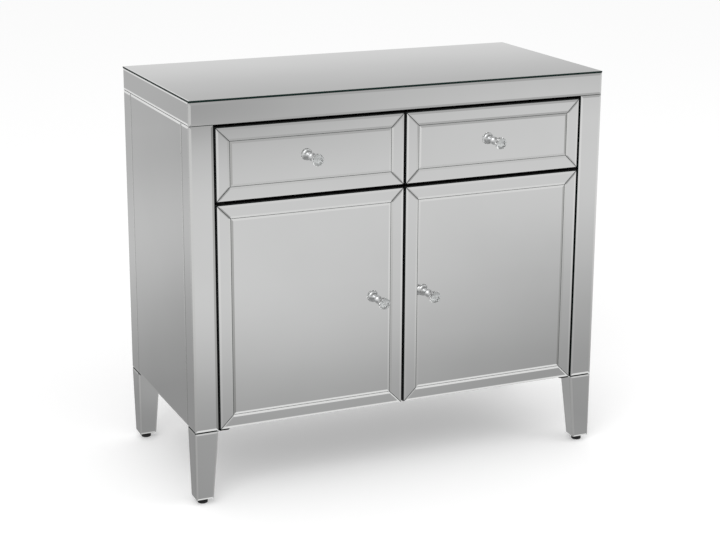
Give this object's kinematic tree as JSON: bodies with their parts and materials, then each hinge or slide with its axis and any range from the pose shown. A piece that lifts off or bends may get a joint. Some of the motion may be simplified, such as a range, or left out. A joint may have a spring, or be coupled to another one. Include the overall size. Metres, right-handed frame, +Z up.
{
  "type": "mirrored sideboard cabinet",
  "caption": "Mirror-clad cabinet on tapered corner legs: drawers side by side over a cupboard with a pair of pivoting doors, crystal knobs.",
  "frame": {"origin": "on the floor, under the middle of the object's box, knobs included", "axes": "+X to the right seen from the front, +Y towards the back (the drawers and doors face -Y), +Z up"},
  "size_m": [0.88, 0.46, 0.8],
  "materials": {
    "mirror_glass": "silvered clear glass with ground bevels",
    "black_board": "fibreboard, satin black lacquer",
    "lining_board": "thin board, matt black",
    "steel": "zinc-plated sheet",
    "chrome": "polished plate",
    "crystal": "clear cut crystal",
    "black_plastic": "moulded nylon"
  },
  "bodies": {
    "carcass": {"back_panel": "lining_board", "band_mirror_front": "mirror_glass", "band_mirror_left": "mirror_glass", "band_mirror_right": "mirror_glass", "bottom_board": "black_board", "cupboard_shelf": "black_board", "door_catch": "black_plastic", "door_left_hinge_lower": "steel", "door_left_hinge_upper": "steel", "door_right_hinge_lower": "steel", "door_right_hinge_upper": "steel", "drawer_deck": "black_board", "drawer_divider": "black_board", "drawer_left_runner_inner": "steel", "drawer_left_runner_outer": "steel", "drawer_right_runner_inner": "steel", "drawer_right_runner_outer": "steel", "front_rail": "black_board", "glide_front_left": "black_plastic", "glide_front_right": "black_plastic", "glide_rear_left": "black_plastic", "glide_rear_right": "black_plastic", "leg_post_front_left": "black_board", "leg_post_front_right": "black_board", "leg_post_rear_left": "black_board", "leg_post_rear_right": "black_board", "post_mirror_left": "mirror_glass", "post_mirror_right": "mirror_glass", "side_mirror_left_centre": "mirror_glass", "side_mirror_left_front": "mirror_glass", "side_mirror_left_rear": "mirror_glass", "side_mirror_right_centre": "mirror_glass", "side_mirror_right_front": "mirror_glass", "side_mirror_right_rear": "mirror_glass", "side_panel_left": "black_board", "side_panel_right": "black_board", "top_board": "black_board", "top_mirror": "mirror_glass"},
    "drawer_left": {"drawer_left_box": "lining_board", "drawer_left_front_board": "black_board", "drawer_left_knob_base": "chrome", "drawer_left_knob_crystal": "crystal", "drawer_left_mirror_frame": "mirror_glass", "drawer_left_mirror_panel": "mirror_glass"},
    "drawer_right": {"drawer_right_box": "lining_board", "drawer_right_front_board": "black_board", "drawer_right_knob_base": "chrome", "drawer_right_knob_crystal": "crystal", "drawer_right_mirror_frame": "mirror_glass", "drawer_right_mirror_panel": "mirror_glass"},
    "door_left": {"door_left_board": "black_board", "door_left_knob_base": "chrome", "door_left_knob_crystal": "crystal", "door_left_mirror_frame": "mirror_glass", "door_left_mirror_panel": "mirror_glass"},
    "door_right": {"door_right_board": "black_board", "door_right_knob_base": "chrome", "door_right_knob_crystal": "crystal", "door_right_mirror_frame": "mirror_glass", "door_right_mirror_panel": "mirror_glass"}
  },
  "joints": [
    {"name": "drawer_left_slide", "type": "slide", "parent": "carcass", "child": "drawer_left", "axis": [0, -1, 0], "range_m": [0, 0.28]},
    {"name": "drawer_right_slide", "type": "slide", "parent": "carcass", "child": "drawer_right", "axis": [0, -1, 0], "range_m": [0, 0.28]},
    {"name": "door_left_swing", "type": "hinge", "parent": "carcass", "child": "door_left", "pos_m": [-0.3755, -0.186, 0.37435], "axis": [0, 0, -1], "range_deg": [0, 110]},
    {"name": "door_right_swing", "type": "hinge", "parent": "carcass", "child": "door_right", "pos_m": [0.3755, -0.186, 0.37435], "axis": [0, 0, 1], "range_deg": [0, 110]}
  ]
}
